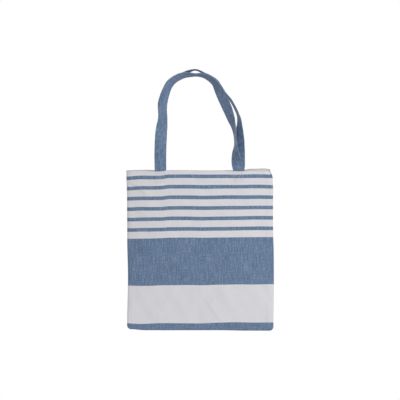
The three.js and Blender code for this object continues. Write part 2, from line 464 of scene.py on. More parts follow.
class Loom:
    """A material's node tree, on which a finish is woven."""

    def __init__(self, name: str) -> None:
        """Starts an empty node tree for a new material.

        Args:
            name: The material's name.
        """
        self.material = bpy.data.materials.new(name)
        self.material.use_nodes = True
        self.tree = self.material.node_tree
        self.tree.nodes.clear()

    def node(
        self,
        kind: str,
        settings: dict[str, object] | None = None,
        inputs: dict[str | int, object] | None = None,
        output: str | int = 0,
    ) -> Value:
        """Adds a node.

        Args:
            kind: The node's type.
            settings: Its own settings, which are set first.
            inputs: Values or links of its sockets, by name or number.
            output: The output that is returned.

        Returns:
            That output.
        """
        made = self.tree.nodes.new(kind)
        for name, value in (settings or {}).items():
            setattr(made, name, value)
        for key, value in (inputs or {}).items():
            socket = made.inputs[key]
            if isinstance(value, Value):
                self.tree.links.new(value.output, socket)
            else:
                socket.default_value = value
        return Value(self, made.outputs[output] if made.outputs else None)

    def cloth_place(self) -> tuple[Value, Value, Value]:
        """The cloth's own map in millimetres: as a vector, across it and along it.

        Returns:
            The vector and its two values.
        """
        metres = self.node("ShaderNodeUVMap", {"uv_map": CLOTH_MAP})
        place = self.stretched(metres, (1 / MM, 1 / MM, 0))
        across = self.node("ShaderNodeSeparateXYZ", inputs={"Vector": place}, output="X")
        along = self.node("ShaderNodeSeparateXYZ", inputs={"Vector": place}, output="Y")
        return place, across, along

    def stretched(self, vector: Value, by: Sequence[float]) -> Value:
        """A vector multiplied by another."""
        return self.node("ShaderNodeVectorMath", {"operation": "MULTIPLY"}, {0: vector, 1: tuple(by)})

    def noise(
        self, place: Value, across: float, along: float, detail: float = 2.0, through: float = 0.0
    ) -> Value:
        """Uneven patches, centred on 0.

        Args:
            place: Where on the cloth, or in space, in millimetres.
            across: A patch's size across the cloth.
            along: A patch's size along it.
            detail: How much finer unevenness it holds.
            through: A patch's size in the third direction, or 0 on a flat map.

        Returns:
            About -0.5 to 0.5.
        """
        third = 1 / through if through else 0.0
        scaled = self.stretched(place, (1 / across, 1 / along, third))
        settings = {"noise_dimensions": "3D" if through else "2D"}
        inputs = {"Vector": scaled, "Scale": 1.0, "Detail": detail}
        return self.node("ShaderNodeTexNoise", settings, inputs) - 0.5

    def mixed(self, share: Value | float, first: object, second: object) -> Value:
        """Mixes two colours.

        Args:
            share: The second colour's share.
            first: A colour or a link.
            second: A colour or a link.

        Returns:
            The mixed colour.
        """
        colours = [value if isinstance(value, Value) else (*value, 1.0) for value in (first, second)]
        settings = {"data_type": "RGBA", "clamp_factor": True}
        return self.node("ShaderNodeMix", settings, {0: share, 6: colours[0], 7: colours[1]}, output=2)

    def scaled(self, colour: Value, by: Value) -> Value:
        """A colour made lighter or darker."""
        return self.node("ShaderNodeVectorMath", {"operation": "SCALE"}, {0: colour, "Scale": by})

    def finish(
        self, colour: Value, roughness: Value, height: Value, depth: float, **fixed: object
    ) -> bpy.types.Material:
        """Joins colour, roughness and relief in the surface's shader.

        Args:
            colour: The base colour.
            roughness: The roughness.
            height: The relief's height, as a share of depth.
            depth: The relief's depth in metres.
            fixed: Shader sockets that are the same all over, by name with _ for a space.

        Returns:
            The material.
        """
        relief = self.node("ShaderNodeBump", inputs={"Strength": 1.0, "Distance": depth, "Height": height})
        inputs = {"Base Color": colour, "Roughness": roughness, "Normal": relief}
        inputs.update({name.replace("_", " "): value for name, value in fixed.items()})
        shader = self.node("ShaderNodeBsdfPrincipled", inputs=inputs)
        self.node("ShaderNodeOutputMaterial", inputs={"Surface": shader})
        return self.material


@dataclass(frozen=True)
class Weave:
    """A plain weave of uneven yarns."""

    yarn: float = 0.62
    depth: float = 0.16 * MM

    def crossings(self, loom: Loom, place: Value, across: Value, along: Value) -> Value:
        """Where the warp lies on top of the weft.

        Args:
            loom: The material's node tree.
            place: The cloth's map in millimetres.
            across: Its first value.
            along: Its second value.

        Returns:
            1 where a warp yarn is on top, -1 where a weft yarn is.
        """
        turn = math.pi / self.yarn
        wander = loom.noise(place, 9, 9) * 0.5
        return ((across + wander) * turn).sine() * ((along - wander) * turn).sine()


@dataclass(frozen=True)
class StripedCotton:
    """Off-white cotton with blue weft stripes; distances along it are in millimetres from the mouth."""

    name: str = "striped_cotton"
    white: Colour = (0.70, 0.695, 0.725)
    unbleached: Colour = (0.65, 0.642, 0.668)
    blue: Colour = (0.094, 0.165, 0.286)
    thin_start: float = 10.4
    thin_pitch: float = 27.2
    thin_high: float = 9.6
    thin_end: float = 165.0
    band: tuple[float, float] = (173.6, 296.8)
    foot: float = 395.9
    end_patch: tuple[float, float, float] = (87.0, 117.0, 31.0)
    ridge: float = 172.6
    weave: Weave = field(default_factory=Weave)

    def stripes(self, loom: Loom, place: Value, along: Value) -> Value:
        """Where the weft is blue.

        Args:
            loom: The material's node tree.
            place: The cloth's map in millimetres.
            along: Its second value, the drop below the mouth.

        Returns:
            1 in a stripe and 0 between stripes.
        """
        sway = loom.noise(place, 110, 70) * 2.2
        ragged = loom.noise(place, 0.9, 4.0) * 1.1
        drop = along + sway + ragged
        step = (drop - (self.thin_start - self.thin_high)) % self.thin_pitch
        thin = step.between(self.thin_high, 2 * self.thin_high, 0.45) * (1 - drop.past(self.thin_end, 1.0))
        wide = drop.between(*self.band, 0.45)
        return thin + wide + drop.past(self.foot, 0.45)

    def make(self) -> bpy.types.Material:
        """Weaves the striped cotton.

        Returns:
            The material.
        """
        loom = Loom(self.name)
        place, across, along = loom.cloth_place()
        blue = self.stripes(loom, place, along)
        crossing = self.weave.crossings(loom, place, across, along)
        slubs = loom.noise(place, 1.5, 70, 3)
        bars = loom.noise(place, 60, 1.1, 3)
        cloud = loom.noise(place, 45, 60, 3)
        flecks = loom.noise(place, 0.7, 2.4, 2)
        streaks = loom.noise(place, 3.2, 24, 2)
        mottle = loom.noise(place, 4.0, 4.5, 2)
        ground = loom.mixed(0.5 + slubs * 0.8 + cloud * 1.0 + streaks * 0.8, self.white, self.unbleached)
        ground = loom.scaled(ground, 1 + slubs * 0.04 + bars * 0.06)
        low, high, foot = self.end_patch
        over_end = abs(across).between(low, high, 1.2) * (1 - along.past(foot, 1.2))
        beside_ridge = abs(abs(across) - self.ridge)
        # Painted shade: a thin grey line along the seam-allowance ridge, standing in for the shade beside the
        # raised step.
        ridge_shade = (1 - beside_ridge.past(0.8, 0.9)) * 0.10
        # Painted shade: the top 3 mm below the mouth, where the cloth rolls over its lip, is greyed as if
        # turned away from the light.
        mouth_fold_shade = (1 - along.past(3.0, 1.5)) * 0.12
        ground = loom.mixed(over_end * 0.14 + ridge_shade + mouth_fold_shade, ground, (0.50, 0.52, 0.57))
        pale = 0.05 + slubs * 0.22 + bars * 0.24 + flecks * 0.25 + streaks * 0.24 + mottle * 0.3
        stripe = loom.mixed(pale, self.blue, self.white)
        stripe = loom.scaled(stripe, 1 + cloud * 0.2 + streaks * 0.24)
        colour = loom.mixed(blue, ground, stripe)
        colour = loom.scaled(colour, 1 + crossing * 0.05)
        height = 0.5 + crossing * 0.35 + slubs * 0.5 + bars * 0.4
        roughness = 0.88 + slubs * 0.08 + cloud * 0.06
        return loom.finish(
            colour, roughness, height, self.weave.depth, Sheen_Weight=0.12, Sheen_Roughness=0.6
        )


@dataclass(frozen=True)
class PlainCotton:
    """Woven cotton of one colour, with yarns of a second colour showing in it."""

    name: str
    yarn: Colour
    flecked: Colour
    flecks: float
    mottle: float
    worn_from: float = 0.0
    weave: Weave = field(default_factory=Weave)

    def make(self) -> bpy.types.Material:
        """Weaves the plain cotton.

        Returns:
            The material.
        """
        loom = Loom(self.name)
        place, across, along = loom.cloth_place()
        crossing = self.weave.crossings(loom, place, across, along)
        slubs = loom.noise(place, 1.3, 60, 3)
        bars = loom.noise(place, 30, 1.2, 3)
        cloud = loom.noise(place, 30, 45, 3)
        fleck = loom.noise(place, 0.7, 2.2, 2)
        streaks = loom.noise(place, 4.5, 11, 3)
        share = 0.05 + (slubs * 0.7 + bars * 0.8 + fleck + streaks * 1.4) * self.flecks
        if self.worn_from:
            share = share + abs(across).past(self.worn_from, 0.7) * 0.05
        colour = loom.mixed(share, self.yarn, self.flecked)
        colour = loom.scaled(colour, 1 + (cloud + streaks) * self.mottle + crossing * 0.05)
        height = 0.5 + crossing * 0.35 + slubs * 0.5 + bars * 0.4
        roughness = 0.88 + slubs * 0.08 + cloud * 0.06
        return loom.finish(
            colour, roughness, height, self.weave.depth, Sheen_Weight=0.12, Sheen_Roughness=0.6
        )


@dataclass(frozen=True)
class SewingThread:
    """Matte twisted thread."""

    name: str
    dyed: Colour
    shade: Colour

    def make(self) -> bpy.types.Material:
        """Twists the thread.

        Returns:
            The material.
        """
        loom = Loom(self.name)
        metres = loom.node("ShaderNodeTexCoord", output="Object")
        place = loom.stretched(metres, (1 / MM, 1 / MM, 1 / MM))
        uneven = loom.noise(place, 9, 9, 3, through=9)
        fibres = loom.noise(place, 0.25, 0.25, 2, through=0.25)
        colour = loom.mixed(0.35 + uneven * 0.8 + fibres * 0.5, self.dyed, self.shade)
        return loom.finish(colour, 0.75 + uneven * 0.2, 0.5 + fibres, 0.08 * MM, Sheen_Weight=0.1)


@dataclass(frozen=True)
class PaintedFloor:
    """A plain pale studio floor."""

    name: str = "pale_floor"
    paint: Colour = (0.80, 0.80, 0.80)
    worn: Colour = (0.77, 0.77, 0.765)

    def make(self) -> bpy.types.Material:
        """Paints the floor.

        Returns:
            The material.
        """
        loom = Loom(self.name)
        metres = loom.node("ShaderNodeTexCoord", output="Object")
        place = loom.stretched(metres, (1 / MM, 1 / MM, 1 / MM))
        patches = loom.noise(place, 180, 180, 3, through=180)
        colour = loom.mixed(0.5 + patches * 2.0, self.paint, self.worn)
        return loom.finish(colour, 0.7 + patches * 0.1, 0.5 + patches, 0.2 * MM)


class Wardrobe:
    """Makes each finish once and gives it to the pieces that take it."""

    def __init__(self) -> None:
        """Makes every finish."""
        white = StripedCotton.white
        blue = StripedCotton.blue
        self.striped = StripedCotton().make()
        self.white = PlainCotton("white_cotton", white, (0.60, 0.60, 0.62), 0.25, 0.05).make()
        self.strap = PlainCotton("blue_cotton", blue, white, 0.22, 0.4, worn_from=14.2).make()
        self.thread = SewingThread("sewing_thread", (0.66, 0.66, 0.67), (0.56, 0.56, 0.58)).make()
        self.blue_thread = SewingThread("blue_thread", (0.15, 0.22, 0.32), (0.10, 0.16, 0.25)).make()

    @staticmethod
    def dress(piece: bpy.types.Object, material: bpy.types.Material, slot: str) -> None:
        """Gives a piece its finish.

        Args:
            piece: The piece.
            material: Its finish.
            slot: Not used.
        """
        piece.data.materials.clear()
        piece.data.materials.append(material)


# ---- the bag's form ----------------------------------------------------------------------------


@dataclass(frozen=True)
class Crease:
    """A soft fold line pressed in a panel.

    Attributes:
        start: Its first end, as x and drop.
        end: Its second end.
        height: How far it stands out, or in where negative.
        wide: Half its width.
    """

    start: tuple[float, float]
    end: tuple[float, float]
    height: float
    wide: float

    def at(self, x: Array, drop: Array) -> Array:
        """How far the cloth stands out at each place.

        Args:
            x: Places across.
            drop: Places down.

        Returns:
            The height at each place.
        """
        start, end = np.array(self.start) * MM, np.array(self.end) * MM
        line = end - start
        share = ((x - start[0]) * line[0] + (drop - start[1]) * line[1]) / (line @ line)
        held = np.clip(share, 0, 1)
        away = np.hypot(x - start[0] - held * line[0], drop - start[1] - held * line[1])
        fade = smooth_step(share, -0.05, 0.3) * (1 - smooth_step(share, 0.7, 1.05))
        return self.height * MM * fade * np.exp(-((away / (self.wide * MM)) ** 2))


FRONT_CREASES = (
    Crease((0.5, -5), (2, 420), 0.55, 2.2),
    Crease((32, 60), (31, 420), 0.5, 2.0),
    Crease((-196, 14), (-122, 68), 1.0, 4.0),
    Crease((-192, 26), (-128, 78), -0.8, 4.0),
    Crease((10, 325), (70, 412), 0.9, 4.5),
    Crease((-150, 30), (-90, 20), 0.5, 5.0),
    Crease((70, 34), (140, 46), 0.5, 6.0),
    Crease((120, 36), (182, 22), 0.6, 5.0),
    Crease((-60, 300), (-120, 405), 0.5, 6.0),
    Crease((150, 250), (186, 330), 0.6, 6.0),
)
BACK_CREASES = (
    Crease((-1, -5), (-2, 420), 0.55, 2.2),
    Crease((-33, 30), (-32, 420), 0.5, 2.0),
    Crease((190, 20), (110, 84), 0.9, 4.5),
    Crease((-180, 36), (-110, 60), 0.7, 5.0),
    Crease((-20, 310), (-90, 412), 0.8, 5.0),
    Crease((60, 260), (130, 400), 0.5, 6.0),
)


@dataclass(frozen=True)
class BagForm:
    """The empty bag's form: its cut from the frame, and how it hangs.

    Attributes:
        half_width: From the middle to a side seam.
        mouth: The mouth's height.
        height: From the mouth to the bottom seam.
    """

    half_width: float
    mouth: float
    height: float
    gap: float = 0.3 * MM
    cloth: float = 0.9 * MM
    mouth_gape: float = 9 * MM
    billow: float = 8 * MM
    seam_roll: float = 2.2 * MM
    roll_reach: float = 3 * MM
    corner: float = 10.5 * MM
    hem_depth: float = 30 * MM
    hem_thick: float = 1.4 * MM
    hem_from_side: float = 6 * MM
    strap_middle: float = 102 * MM
    left_edge: tuple[tuple[float, float], ...] = ((0, -0.7), (70, 1.1), (180, 1.6), (280, 3.6), (400, 1.2))
    right_edge: tuple[tuple[float, float], ...] = (
        (0, -6.8), (20, -0.4), (50, 0.8), (130, 0.6), (230, 2.8), (290, 3.0), (400, 1.8)
    )

    @classmethod
    def from_frame(cls) -> BagForm:
        """Reads the cut's size from the frame.

        Returns:
            The bag's form.
        """
        low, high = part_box("front_panel")
        left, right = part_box("front_handle_right_end")
        return cls(high.x, high.z, high.z - low.z, strap_middle=(left.x + right.x) / 2)

    def inner(self, x: Array, drop: Array) -> Array:
        """How far a panel's inner face stands off the middle plane.

        Args:
            x: Places across.
            drop: Places down.

        Returns:
            The distance at each place.
        """
        drop = np.maximum(drop, 0)
        from_side = np.maximum(0, self.half_width - np.abs(x))
        from_bottom = np.maximum(0, self.height - drop)
        rolled = (1 - np.exp(-from_side / self.roll_reach)) * (1 - np.exp(-from_bottom / self.roll_reach))
        down = drop / self.height
        swell = self.mouth_gape * (1 - down) + self.billow * 4 * down * (1 - down)
        across = 1 - np.minimum(1, np.abs(x) / self.half_width) ** 3
        return self.gap / 2 + self.seam_roll * rolled + swell * across

    def narrowed(self, x: Array, drop: Array) -> Array:
        """x, drawn in where the bottom corners are rounded.

        Args:
            x: Places across.
            drop: Places down.

        Returns:
            The places across that the cloth takes.
        """
        into = np.clip(self.corner - (self.height - drop), 0, self.corner)
        lost = self.corner - np.sqrt(self.corner**2 - into**2)
        return x * (1 - lost / self.half_width)

    def side_shift(self, x: Array, drop: Array) -> Array:
        """How far cloth lies to the right of a square cut, because it hangs a little askew.

        Args:
            x: Places across.
            drop: Places down.

        Returns:
            The shift at each place.
        """
        share = (np.clip(x / self.half_width, -1, 1) + 1) / 2
        left = eased(drop / MM, self.left_edge) * MM
        right = eased(drop / MM, self.right_edge) * MM
        return left * (1 - share) ** 2 + right * share**2

    def drop_shift(self, half: Half, x: Array, drop: Array) -> Array:
        """How far cloth lies above a square cut.

        Args:
            half: The panel.
            x: Places across.
            drop: Places down.

        Returns:
            The shift upwards at each place.
        """
        if half is Half.FRONT:
            top = eased(x / MM, (
                (-190, -2.2), (-150, -1.0), (-104, -2.9), (-76, 0.8), (-40, 0.9), (0, 0.2), (60, -0.6),
                (102, -2.5), (150, -1.2), (190, -2.4),
            ))
        else:
            top = eased(x / MM, (
                (-190, 0.4), (-140, 2.0), (-110, 0.0), (-60, 0.6), (60, 0.6), (114, 0.5), (136, 4.2),
                (180, 5.2), (190, 3.4),
            ))
            top = top + 0.4 * rippled(x, (0.031, 0.047, 0.083), 5)
        foot = eased(x / MM, ((-190, 2.4), (-150, -0.3), (-90, -0.4), (50, -0.2), (130, -1.4), (190, -1.5)))
        down = np.clip(drop / self.height, 0, 1)
        return (top * (1 - down) ** 1.5 + foot * down) * MM

    def relief(self, half: Half, x: Array, drop: Array) -> Array:
        """How far the cloth stands out of the calm form.

        Args:
            half: The panel.
            x: Places across.
            drop: Places down.

        Returns:
            The distance outwards at each place.
        """
        seed = 10 if half is Half.FRONT else 20
        sway = rippled(x + 0.35 * drop, (0.061, 0.093, 0.147), seed) * rippled(drop, (0.083, 0.131), seed + 1)
        sway = sway + 0.5 * rippled(x - 0.6 * drop, (0.043, 0.071), seed + 2)
        creases = FRONT_CREASES if half is Half.FRONT else BACK_CREASES
        pressed = sum(crease.at(x, drop) for crease in creases)
        from_side = self.half_width - np.abs(x)
        from_bottom = self.height - drop
        step = smooth_step(from_side, 17.8 * MM, 16.0 * MM) + smooth_step(from_bottom, 17.8 * MM, 16.0 * MM)
        step = step - smooth_step(from_side, 5 * MM, 1 * MM) - smooth_step(from_bottom, 5 * MM, 1 * MM)
        held = np.exp(-((np.abs(x) - self.strap_middle) ** 2 + np.maximum(0, drop) ** 2) / (0.03**2))
        free = (1 - held) * smooth_step(from_side, 0, 14 * MM) * smooth_step(from_bottom, 0, 14 * MM)
        over_end = smooth_step(np.abs(np.abs(x) - self.strap_middle), 17 * MM, 14 * MM)
        over_end = over_end * smooth_step(drop, 34 * MM, 30 * MM) * smooth_step(drop, 1 * MM, 6 * MM)
        lip = smooth_step(drop, 34 * MM, 30 * MM) * smooth_step(from_side, 5 * MM, 9 * MM)
        return (sway * 0.9 * MM + pressed) * free + step * 0.45 * MM + over_end * 0.35 * MM + lip * 0.2 * MM

    def on_panel(self, half: Half, x: Array, drop: Array, inwards: Array) -> Array:
        """A place on a panel.

        Args:
            half: The panel.
            x: Places across.
            drop: Places down.
            inwards: How far inwards of the panel's inner face.

        Returns:
            Rows of x, y, z.
        """
        y = half.value * (self.inner(x, drop) + self.relief(half, x, drop) - inwards)
        z = self.mouth - drop + self.drop_shift(half, x, drop)
        return np.stack([self.narrowed(x, drop) + self.side_shift(x, drop), y, z], 1)

    def crowded(self, count: int, reach: float = 0.8) -> Array:
        """Columns across the bag, crowded beside the seams.

        Args:
            count: How many.
            reach: How strongly they crowd, below 1.

        Returns:
            Their places.
        """
        turn = np.linspace(-reach, reach, count + 1) * math.pi / 2
        return self.half_width * np.sin(turn) / math.sin(reach * math.pi / 2)


@dataclass
class BagBody:
    """The bag itself: two panels with their hems, the seam allowances and the sewing.

    Attributes:
        columns: Columns of cells across a panel.
        lip_rows: Rows of cells round the lip at the mouth.
        panel_rows: Rows of places down a panel.
        row_crowding: How strongly they crowd towards the bottom, below 1.
        hem_rows: Rows of places down a hem.
        allowance_rows: Rows of places along a seam allowance.
        allowance_columns: Columns of places across it.
        cut_edge: How far a panel's edges are rounded.
        overlock_reach: How far the overlock's loops reach in from the raw edge.
    """

    form: BagForm
    wardrobe: Wardrobe
    columns: int = 136
    lip_rows: int = 7
    panel_rows: int = 148
    row_crowding: float = 0.86
    hem_rows: int = 14
    allowance_rows: int = 90
    allowance_columns: int = 8
    cut_edge: float = 0.25 * MM
    overlock_reach: float = 5 * MM
    thread: Stitch = field(default_factory=Stitch)
    hem_row_inset: float = 3 * MM
    box_inset: float = 4 * MM
    box_from_mouth: float = 4.5 * MM
    allowance: float = 14 * MM
    allowance_from_edge: float = 2.5 * MM
    allowance_thick: float = 1.4 * MM
    seam_cut: float = 16.5 * MM
    hem_cut: float = 40 * MM

    @property
    def lip_radius(self) -> float:
        """The radius at which a panel's cloth turns in over its hem."""
        return (self.form.cloth + self.form.gap + self.form.hem_thick - self.form.cloth) / 2

    def outside(self, half: Half) -> Surface:
        """A panel's surface, turning in over the mouth where along is below 0.

        Args:
            half: The panel.

        Returns:
            The surface, for a cloth whose middle is at through 0.
        """
        form, radius = self.form, self.lip_radius

        def surface(across: Array, along: Array, through: Array) -> Array:
            """A place on the panel's cloth, down its outside or in over its lip.

            Args:
                across: Places across the cloth.
                along: Places along it.
                through: Places through its thickness.

            Returns:
                Rows of x, y, z.
            """
            turn = np.clip(-along / radius, 0, math.pi)
            drop = np.maximum(along, 0)
            out = form.cloth / 2 + through * np.cos(turn) - radius * (1 - np.cos(turn))
            place = form.on_panel(half, across, drop, -out)
            place[:, 2] += (radius + through) * np.sin(turn)
            return place

        return surface

    def panel(self, half: Half) -> bpy.types.Object:
        """Cuts and lays one panel.

        Args:
            half: Which one.

        Returns:
            The panel.
        """
        form = self.form
        lip = -np.linspace(math.pi * self.lip_radius, 0, self.lip_rows + 1)[:-1]
        turn = np.linspace(0, self.row_crowding, self.panel_rows) * math.pi / 2
        body = form.height * np.sin(turn) / math.sin(self.row_crowding * math.pi / 2)
        cut = FlatCut(f"{half.word}_striped_panel", form.crowded(self.columns), np.concatenate([lip, body]),
                      form.cloth, self.cut_edge)
        piece = cut.make()
        FlatCut.lay(piece, self.outside(half), self.grain(half))
        Wardrobe.dress(piece, self.wardrobe.striped, "striped_cotton")
        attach(piece, Body.BAG.value)
        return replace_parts(piece, f"{half.word}_panel")

    def grain(self, half: Half) -> Callable[[Array, Array], Array]:
        """Where the weave's stripes lie along the cloth, which was cut a little off the grain.

        Args:
            half: The panel.

        Returns:
            Gives the cloth map's second value from the places across and along.
        """
        if half is Half.FRONT:
            knots = ((-190, -2.3), (-142, -1.0), (-103, 0.7), (-60, 0.3), (0, 0.2), (55, 1.6), (104, 3.2),
                     (145, 2.8), (190, 3.3))
            lean = 0.6
        else:
            knots = ((-190, 2), (190, -1))
            lean = -0.8

        def along_grain(across: Array, along: Array) -> Array:
            """The cloth map's second value, which runs from the mouth along the warp.

            Args:
                across: Places across the cloth.
                along: Places along it.

            Returns:
                The value at each place.
            """
            down = np.clip(along / self.form.height, 0, 1)
            skew = eased(across / MM, knots) + lean * down * np.clip(across / self.form.half_width, 0, 1)
            return along + skew * MM

        return along_grain

    def hem(self, half: Half) -> bpy.types.Object:
        """Lays the turned-in hem behind a panel's mouth.

        Args:
            half: The panel.

        Returns:
            The hem.
        """
        form = self.form
        reach = form.half_width - form.hem_from_side
        across = form.crowded(self.columns)
        across = np.concatenate([[-reach], across[np.abs(across) < reach - MM], [reach]])
        cut = FlatCut(f"{half.word}_turned_hem", across, np.linspace(0.3 * MM, form.hem_depth, self.hem_rows),
                      form.hem_thick, 0.55 * MM)
        piece = cut.make()

        def surface(wide: Array, along: Array, through: Array) -> Array:
            """A place on the hem, behind the panel.

            Args:
                wide: Places across the hem.
                along: Places down it.
                through: Places through its thickness.

            Returns:
                Rows of x, y, z.
            """
            inwards = form.gap + form.hem_thick / 2 - through
            inwards = inwards + 0.15 * MM * smooth_step(along, 20 * MM, 27 * MM)
            return form.on_panel(half, wide, along, inwards)

        FlatCut.lay(piece, surface, lambda wide, along: -along - 4 * MM)
        Wardrobe.dress(piece, self.wardrobe.white, "white_cotton")
        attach(piece, Body.BAG.value)
        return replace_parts(piece, f"{half.word}_hem")

    def inside(self, half: Half, layers: float) -> Surface:
        """A surface further in than a panel, facing the middle of the bag.

        Args:
            half: The panel.
            layers: How thick the layers between them are.

        Returns:
            The surface.
        """
        form = self.form

        def surface(across: Array, along: Array, through: Array) -> Array:
            """A place inside the bag, behind the given layers.

            Args:
                across: Places across the cloth.
                along: Places along it.
                through: Places through its thickness.

            Returns:
                Rows of x, y, z.
            """
            return form.on_panel(half, across, along, layers + through)

        return surface

    def hem_row(self, half: Half) -> bpy.types.Object:
        """Sews the row that holds a hem, seen on the panel and on the hem.

        Args:
            half: The panel.

        Returns:
            The row.
        """
        form = self.form
        reach = form.half_width - form.hem_from_side - 2 * MM
        across = self.thread.run(2 * reach) - reach
        rows = []
        for surface, through, offset in (
            (self.outside(half), form.cloth / 2 + 0.1 * MM, 0.0),
            (self.inside(half, form.gap + form.hem_thick), 0.25 * MM, 0.5 * self.thread.pitch),
        ):
            stitches = np.zeros((len(across), 5))
            stitches[:, 0] = across + offset * (np.abs(across) < reach - 2 * self.thread.pitch)
            stitches[:, 1] = form.hem_depth - self.hem_row_inset
            stitches[:, 2] = through
            stitches[:, 3] = 1
            rows.append((surface, stitches))
        return self.sewn(f"{half.word}_hem_stitches", rows, f"{half.word}_hem_stitching")

    def sewn(self, name: str, rows: Sequence[tuple[Surface, Array]], node: str) -> bpy.types.Object:
        """Sews rows of off-white thread on the bag.

        Args:
            name: The piece's name.
            rows: The rows, as Stitch.sew takes them.
            node: The frame's node that the piece stands for.

        Returns:
            The piece.
        """
        piece = self.thread.sew(name, rows)
        Wardrobe.dress(piece, self.wardrobe.thread, "sewing_thread")
        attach(piece, Body.BAG.value)
        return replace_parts(piece, node)

    def box(self, half: Half, hand: Hand, strap_wide: float, strap_thick: float) -> bpy.types.Object:
        """Sews the crossed box that holds a handle's end.

        Args:
            half: The panel.
            hand: The handle's end.
            strap_wide: The strap's width.
            strap_thick: The strap's thickness.

        Returns:
            The box of stitches, on the panel and on the strap behind it.
        """
        form = self.form
        wide = strap_wide / 2 - self.box_inset
        top = self.box_from_mouth
        foot = form.hem_depth - self.hem_row_inset - 1.2 * MM
        middle = hand.value * form.strap_middle
        corners = [(-wide, top), (wide, top), (wide, foot), (-wide, foot)]
        lines = [(corners[i], corners[(i + 1) % 4]) for i in range(4)]
        lines += [(corners[0], corners[2]), (corners[1], corners[3])]
        found = []
        for start, end in lines:
            length = math.dist(start, end)
            shares = self.thread.run(length, inset=0.2 * MM) / length
            heading = ((end[0] - start[0]) / length, (end[1] - start[1]) / length)
            for share in shares:
                found.append([
                    middle + start[0] + (end[0] - start[0]) * share,
                    start[1] + (end[1] - start[1]) * share, 0.0, *heading,
                ])
        outer, inner = np.array(found), np.array(found)
        outer[:, 2] = form.cloth / 2 + 0.1 * MM
        inner[:, 2] = 0.1 * MM
        behind = 2 * form.gap + form.hem_thick + strap_thick
        rows = [(self.outside(half), outer), (self.behind_strap(half, hand, strap_wide, behind), inner)]
        return self.sewn(
            f"{half.word}_{hand.word}_box_stitches", rows, f"{half.word}_{hand.word}_box_stitching"
        )

    def behind_strap(self, half: Half, hand: Hand, strap_wide: float, layers: float) -> Surface:
        """The inner face of a handle's sewn end, which lies flat across its width.

        Args:
            half: The panel.
            hand: The side on which the end is sewn.
            strap_wide: The handle's width.
            layers: How thick the layers outside that face are.

        Returns:
            The surface.
        """
        form = self.form
        outer = form.strap_middle + strap_wide / 2

        def surface(across: Array, along: Array, through: Array) -> Array:
            """A place on the sewn end's inner face.

            Args:
                across: Places across the cloth.
                along: Places along it.
                through: Places through its thickness.

            Returns:
                Rows of x, y, z.
            """
            flat = form.on_panel(half, np.full_like(across, hand.value * outer), along, layers + through)
            flat[:, 0] = across
            return flat

        return surface

    def allowance_strip(self, name: str, side: Hand | None) -> bpy.types.Object:
        """Lays the doubled seam allowance inside a side seam or the bottom seam.

        Args:
            name: The piece's name.
            side: The side seam, or none for the bottom.

        Returns:
            The strip.
        """
        form = self.form
        if side is None:
            length = 2 * (form.half_width - self.allowance_from_edge - self.allowance - 2 * MM)
            start = -length / 2
        else:
            length = form.height - form.hem_depth - MM - form.corner
            start = form.hem_depth + MM
        rows = np.linspace(start, start + length, self.allowance_rows)
        columns = np.linspace(0, self.allowance, self.allowance_columns)
        cut = FlatCut(name, columns, rows, self.allowance_thick, 0.5 * MM)
        piece = cut.make()
        FlatCut.lay(piece, self.along_seam(side), lambda wide, along: along)
        if side is None:
            Wardrobe.dress(piece, self.wardrobe.strap, "blue_cotton")
            node = "bottom_seam"
        else:
            x, y, z = Bench.points(piece).T
            Bench.map_cloth(piece, x, form.mouth - z)
            Wardrobe.dress(piece, self.wardrobe.striped, "striped_cotton")
            node = f"{side.word}_side_seam"
        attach(piece, Body.BAG.value)
        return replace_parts(piece, node)

    def along_seam(self, side: Hand | None) -> Surface:
        """The surface in which a seam allowance lies, between the panels.

        Args:
            side: The side seam, or none for the bottom.

        Returns:
            The surface: across is inwards from the seam, and along is a drop, or x for the bottom.
        """
        form = self.form

        def surface(across: Array, along: Array, through: Array) -> Array:
            """A place on the allowance, a little curled towards its raw edge.

            Args:
                across: Places inwards from the seam.
                along: Drops, or x for the bottom.
                through: Places through its thickness.

            Returns:
                Rows of x, y, z.
            """
            inwards = self.allowance_from_edge + across
            curl = 0.25 * MM * rippled(along, (0.05, 0.083, 0.127), 3) * across / self.allowance
            if side is None:
                x, drop = along, np.full_like(along, form.height) - inwards
            else:
                x, drop = side.value * (form.half_width - inwards), along
            lift = form.drop_shift(Half.FRONT, x, drop) / 2 + form.drop_shift(Half.BACK, x, drop) / 2
            return np.stack([x + form.side_shift(x, drop), through + curl, form.mouth - drop + lift], 1)

        return surface

    def overlock(self, name: str, side: Hand | None, node: str) -> bpy.types.Object:
        """Sews the overlocked edge of a seam allowance: slanted loops on both faces and a chain.

        Args:
            name: The piece's name.
            side: The side seam, or none for the bottom.
            node: The frame's node that the piece stands for.

        Returns:
            The thread.
        """
        form, reach = self.form, self.overlock_reach
        surface = self.along_seam(side)
        if side is None:
            ends = form.half_width - self.allowance_from_edge - self.allowance - 3 * MM
            start, length = -ends, 2 * ends
        else:
            start, length = form.hem_depth + 2 * MM, form.height - form.hem_depth - form.corner - 3 * MM
        chain = Stitch(long=3.2 * MM, pitch=2.8 * MM, wide=0.5 * MM, thick=0.4 * MM)
        steps = start + chain.run(length)
        count = len(steps)
        face = self.allowance_thick / 2 + 0.1 * MM
        over = self.allowance + 0.35 * MM
        rows = []
        for through in (-face, face):
            for lean in (-1.0, 1.0):
                heading = np.array([reach, lean * chain.pitch / 2]) / math.hypot(reach, chain.pitch / 2)
                for along_loop in (0.22, 0.5, 0.78):
                    places = np.empty((count, 5))
                    places[:, 0] = self.allowance - reach * along_loop
                    places[:, 1] = steps + lean * chain.pitch * (0.5 - along_loop) / 2
                    places[:, 2] = through
                    places[:, 3:] = heading
                    rows.append((surface, places))
        edge = np.tile([over, 0.0, 0.0, 0.0, 1.0], (count, 1))
        edge[:, 1] = steps
        rows.append((surface, edge))
        piece = chain.sew(name, rows)
        Wardrobe.dress(piece, self.wardrobe.thread, "sewing_thread")
        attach(piece, Body.BAG.value)
        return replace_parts(piece, node)

